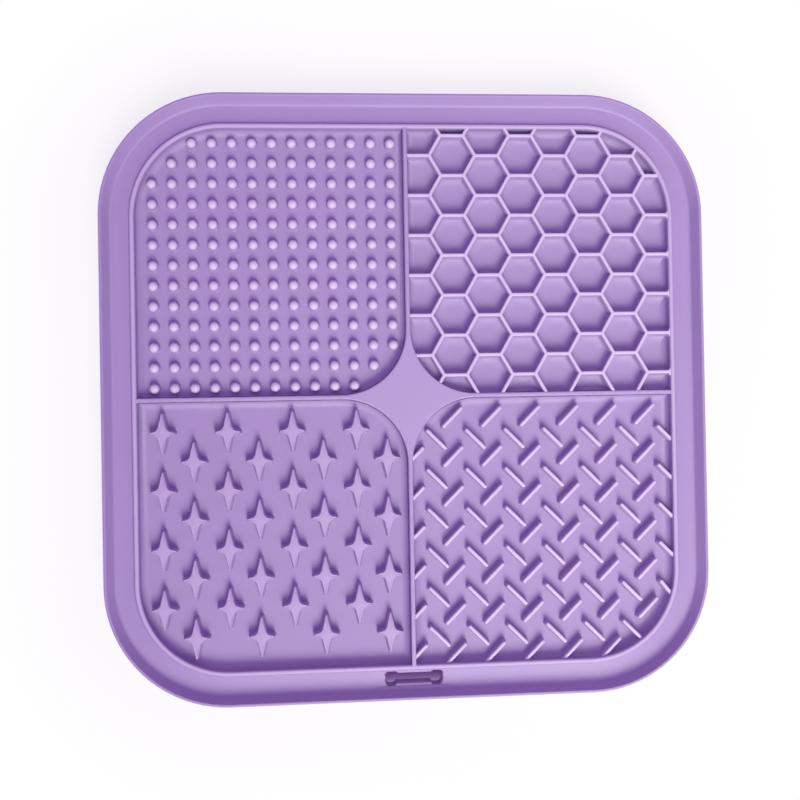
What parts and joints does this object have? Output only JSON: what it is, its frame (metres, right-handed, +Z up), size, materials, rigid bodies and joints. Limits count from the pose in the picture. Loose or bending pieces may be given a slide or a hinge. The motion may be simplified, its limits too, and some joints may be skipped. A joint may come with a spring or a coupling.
{
  "type": "lick mat",
  "caption": "Square silicone lick mat with dotted, honeycomb, starred and slanted-bar fields, a spill gutter inside a raised rim, a hanging slot and suction cups underneath.",
  "frame": {"origin": "on the surface that the cups stand on, under the middle of the mat", "axes": "+Z up out of the fields; -Y towards the side with the hanging slot; +X right, with the slot towards the viewer"},
  "size_m": [0.2, 0.2, 0.013],
  "materials": {
    "silicone": "satin",
    "cup_silicone": "satin"
  },
  "bodies": {
    "mat": {"floor_sheet": "silicone", "gutter_band": "silicone", "hanging_slot_land": "silicone", "ridge_frame": "silicone", "outer_rim": "silicone", "divider_cross": "silicone", "dot_nubs": "silicone", "honeycomb_walls": "silicone", "star_spikes": "silicone", "herringbone_bars": "silicone"},
    "suction_cup_01": {"suction_cup_01": "cup_silicone"},
    "suction_cup_02": {"suction_cup_02": "cup_silicone"},
    "suction_cup_03": {"suction_cup_03": "cup_silicone"},
    "suction_cup_04": {"suction_cup_04": "cup_silicone"},
    "suction_cup_05": {"suction_cup_05": "cup_silicone"},
    "suction_cup_06": {"suction_cup_06": "cup_silicone"},
    "suction_cup_07": {"suction_cup_07": "cup_silicone"},
    "suction_cup_08": {"suction_cup_08": "cup_silicone"},
    "suction_cup_09": {"suction_cup_09": "cup_silicone"},
    "suction_cup_10": {"suction_cup_10": "cup_silicone"},
    "suction_cup_11": {"suction_cup_11": "cup_silicone"},
    "suction_cup_12": {"suction_cup_12": "cup_silicone"},
    "suction_cup_13": {"suction_cup_13": "cup_silicone"},
    "suction_cup_14": {"suction_cup_14": "cup_silicone"},
    "suction_cup_15": {"suction_cup_15": "cup_silicone"},
    "suction_cup_16": {"suction_cup_16": "cup_silicone"}
  },
  "joints": [
    {"name": "suction_cup_01_press", "type": "slide", "parent": "mat", "child": "suction_cup_01", "axis": [0, 0, 1], "range_m": [0, 0.002], "stiffness_N_per_m": 300, "springref_m": -0.0006, "deforming": ["suction_cup_01"]},
    {"name": "suction_cup_02_press", "type": "slide", "parent": "mat", "child": "suction_cup_02", "axis": [0, 0, 1], "range_m": [0, 0.002], "stiffness_N_per_m": 300, "springref_m": -0.0006, "deforming": ["suction_cup_02"]},
    {"name": "suction_cup_03_press", "type": "slide", "parent": "mat", "child": "suction_cup_03", "axis": [0, 0, 1], "range_m": [0, 0.002], "stiffness_N_per_m": 300, "springref_m": -0.0006, "deforming": ["suction_cup_03"]},
    {"name": "suction_cup_04_press", "type": "slide", "parent": "mat", "child": "suction_cup_04", "axis": [0, 0, 1], "range_m": [0, 0.002], "stiffness_N_per_m": 300, "springref_m": -0.0006, "deforming": ["suction_cup_04"]},
    {"name": "suction_cup_05_press", "type": "slide", "parent": "mat", "child": "suction_cup_05", "axis": [0, 0, 1], "range_m": [0, 0.002], "stiffness_N_per_m": 300, "springref_m": -0.0006, "deforming": ["suction_cup_05"]},
    {"name": "suction_cup_06_press", "type": "slide", "parent": "mat", "child": "suction_cup_06", "axis": [0, 0, 1], "range_m": [0, 0.002], "stiffness_N_per_m": 300, "springref_m": -0.0006, "deforming": ["suction_cup_06"]},
    {"name": "suction_cup_07_press", "type": "slide", "parent": "mat", "child": "suction_cup_07", "axis": [0, 0, 1], "range_m": [0, 0.002], "stiffness_N_per_m": 300, "springref_m": -0.0006, "deforming": ["suction_cup_07"]},
    {"name": "suction_cup_08_press", "type": "slide", "parent": "mat", "child": "suction_cup_08", "axis": [0, 0, 1], "range_m": [0, 0.002], "stiffness_N_per_m": 300, "springref_m": -0.0006, "deforming": ["suction_cup_08"]},
    {"name": "suction_cup_09_press", "type": "slide", "parent": "mat", "child": "suction_cup_09", "axis": [0, 0, 1], "range_m": [0, 0.002], "stiffness_N_per_m": 300, "springref_m": -0.0006, "deforming": ["suction_cup_09"]},
    {"name": "suction_cup_10_press", "type": "slide", "parent": "mat", "child": "suction_cup_10", "axis": [0, 0, 1], "range_m": [0, 0.002], "stiffness_N_per_m": 300, "springref_m": -0.0006, "deforming": ["suction_cup_10"]},
    {"name": "suction_cup_11_press", "type": "slide", "parent": "mat", "child": "suction_cup_11", "axis": [0, 0, 1], "range_m": [0, 0.002], "stiffness_N_per_m": 300, "springref_m": -0.0006, "deforming": ["suction_cup_11"]},
    {"name": "suction_cup_12_press", "type": "slide", "parent": "mat", "child": "suction_cup_12", "axis": [0, 0, 1], "range_m": [0, 0.002], "stiffness_N_per_m": 300, "springref_m": -0.0006, "deforming": ["suction_cup_12"]},
    {"name": "suction_cup_13_press", "type": "slide", "parent": "mat", "child": "suction_cup_13", "axis": [0, 0, 1], "range_m": [0, 0.002], "stiffness_N_per_m": 300, "springref_m": -0.0006, "deforming": ["suction_cup_13"]},
    {"name": "suction_cup_14_press", "type": "slide", "parent": "mat", "child": "suction_cup_14", "axis": [0, 0, 1], "range_m": [0, 0.002], "stiffness_N_per_m": 300, "springref_m": -0.0006, "deforming": ["suction_cup_14"]},
    {"name": "suction_cup_15_press", "type": "slide", "parent": "mat", "child": "suction_cup_15", "axis": [0, 0, 1], "range_m": [0, 0.002], "stiffness_N_per_m": 300, "springref_m": -0.0006, "deforming": ["suction_cup_15"]},
    {"name": "suction_cup_16_press", "type": "slide", "parent": "mat", "child": "suction_cup_16", "axis": [0, 0, 1], "range_m": [0, 0.002], "stiffness_N_per_m": 300, "springref_m": -0.0006, "deforming": ["suction_cup_16"]}
  ]
}
